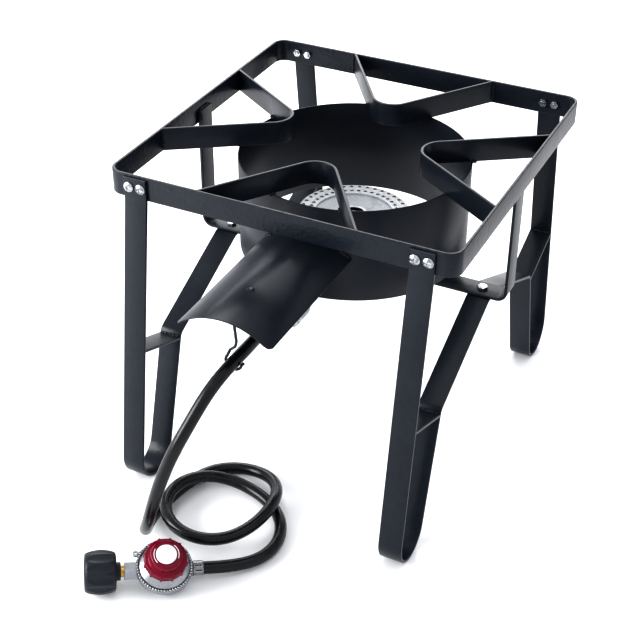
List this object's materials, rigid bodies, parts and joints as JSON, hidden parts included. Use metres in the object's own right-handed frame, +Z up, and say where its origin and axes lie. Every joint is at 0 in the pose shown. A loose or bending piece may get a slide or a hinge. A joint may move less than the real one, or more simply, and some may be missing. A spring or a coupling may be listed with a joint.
{
  "type": "high-pressure outdoor gas burner",
  "caption": "Outdoor propane burner: square flat-bar stand on bent legs, round wind guard, cast burner, heat shield, hose and dial regulator.",
  "frame": {"origin": "on the floor, below the middle of the stand's overall box with the heat shield and without the hose; the burner's axis stands 0.0291 m behind it", "axes": "+X to the right seen from the front, +Y to the back, +Z up; the heat shield, mixing tube and hose leave to the front (-Y)"},
  "size_m": [0.374, 0.6441, 0.362],
  "materials": {
    "black_steel": "satin powder coat",
    "zinc_steel": "bright zinc plate",
    "cast_iron": "silver heat paint on a rough casting",
    "brass": "machined",
    "rubber": "satin",
    "crimp_steel": "nickel plate",
    "zinc_casting": "as cast, satin",
    "red_plastic": "satin gloss",
    "white_plastic": "gloss",
    "black_plastic": "satin"
  },
  "bodies": {
    "stand": {"top_frame": "black_steel", "finger_front": "black_steel", "finger_back": "black_steel", "finger_left": "black_steel", "finger_right": "black_steel", "leg_left": "black_steel", "leg_right": "black_steel", "brace_fl": "black_steel", "brace_fr": "black_steel", "brace_bl": "black_steel", "brace_br": "black_steel", "hanger_bracket": "black_steel", "frame_screws": "zinc_steel", "frame_nuts": "zinc_steel", "bracket_bolts": "zinc_steel", "bracket_nuts": "zinc_steel", "wind_guard": "black_steel", "heat_shield": "black_steel", "shield_rivet": "black_steel", "hose_hook": "black_steel", "burner_bowl": "cast_iron", "mixing_tube": "cast_iron", "burner_cap": "cast_iron", "burner_bolt": "zinc_steel", "burner_nut": "zinc_steel", "shutter_nut": "brass", "orifice_fitting": "brass", "swivel_nut": "brass", "burner_ferrule": "crimp_steel", "hose_drop": "rubber", "hose_loop": "rubber", "regulator_ferrule": "crimp_steel", "regulator_housing": "zinc_casting", "diaphragm": "rubber", "diaphragm_plate": "zinc_steel", "main_spring": "zinc_steel", "regulator_bonnet": "zinc_casting", "inlet_nipple": "brass", "nipple_collar": "black_plastic"},
    "air_shutter": {"air_shutter": "zinc_steel"},
    "spring_seat": {"spring_seat": "zinc_steel"},
    "pressure_knob": {"adjusting_screw": "zinc_steel", "pressure_knob": "red_plastic", "knob_cap": "white_plastic"},
    "tank_nut": {"tank_nut": "black_plastic"}
  },
  "joints": [
    {"name": "air_shutter_turn", "type": "hinge", "parent": "stand", "child": "air_shutter", "pos_m": [0, -0.13989, 0.24], "axis": [0, -1, 0], "range_deg": [0, 45]},
    {"name": "screw_travel", "type": "slide", "parent": "stand", "child": "spring_seat", "axis": [-0.3031, 0.2528, -0.9188], "range_m": [0, 0.003]},
    {"name": "knob_turn", "type": "hinge", "parent": "spring_seat", "child": "pressure_knob", "pos_m": [-0.0454, -0.31869, 0.0169], "axis": [-0.3031, 0.2528, -0.9188], "range_deg": [0, 720]},
    {"name": "tank_nut_spin", "type": "hinge", "parent": "stand", "child": "tank_nut", "pos_m": [-0.0454, -0.31869, 0.0169], "axis": [-0.8046, -0.5846, 0.1045], "continuous": true}
  ],
  "couplings": [
    {"joint": "screw_travel", "follows": "knob_turn", "m_per_rad": 0.0002387}
  ]
}
